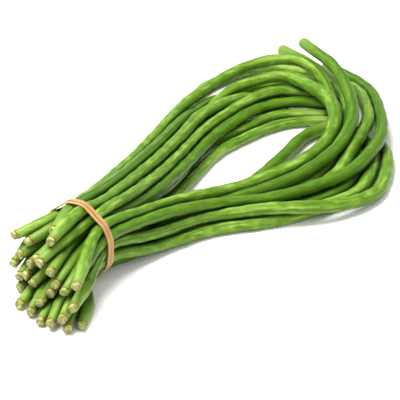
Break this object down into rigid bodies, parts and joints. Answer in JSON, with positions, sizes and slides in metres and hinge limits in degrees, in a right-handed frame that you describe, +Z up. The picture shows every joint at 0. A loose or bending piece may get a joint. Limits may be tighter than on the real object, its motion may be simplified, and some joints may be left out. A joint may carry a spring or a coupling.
{
  "type": "yardlong bean bunch",
  "caption": "Bunch of long green bean pods folded over into a flat loop, with a rubber band round them near the cut stem ends; it lies on its side.",
  "frame": {"origin": "on the floor under the middle of the bunch's box, at the lowest point of the bunch", "axes": "+X from the cut stem ends towards the far bend, +Y towards the back arm of the loop, +Z up"},
  "size_m": [0.3891, 0.2018, 0.0579],
  "materials": {
    "pod_skin": "fresh green pod skin with a satin sheen",
    "band_rubber": "matte tan rubber"
  },
  "bodies": {
    "root": {"pod_back_01": "pod_skin", "pod_back_02": "pod_skin", "pod_back_03": "pod_skin", "pod_back_04": "pod_skin", "pod_back_05": "pod_skin", "pod_back_06": "pod_skin", "pod_back_07": "pod_skin", "pod_back_08": "pod_skin", "pod_back_09": "pod_skin", "pod_back_10": "pod_skin", "pod_back_11": "pod_skin", "pod_back_12": "pod_skin", "pod_back_13": "pod_skin", "pod_back_14": "pod_skin", "pod_back_15": "pod_skin", "pod_back_16": "pod_skin", "pod_front_01": "pod_skin", "pod_front_02": "pod_skin", "pod_front_03": "pod_skin", "pod_front_04": "pod_skin", "pod_front_05": "pod_skin", "pod_front_06": "pod_skin", "pod_front_07": "pod_skin", "pod_front_08": "pod_skin", "pod_front_09": "pod_skin", "pod_front_10": "pod_skin", "pod_front_11": "pod_skin", "rubber_band": "band_rubber"}
  },
  "joints": []
}
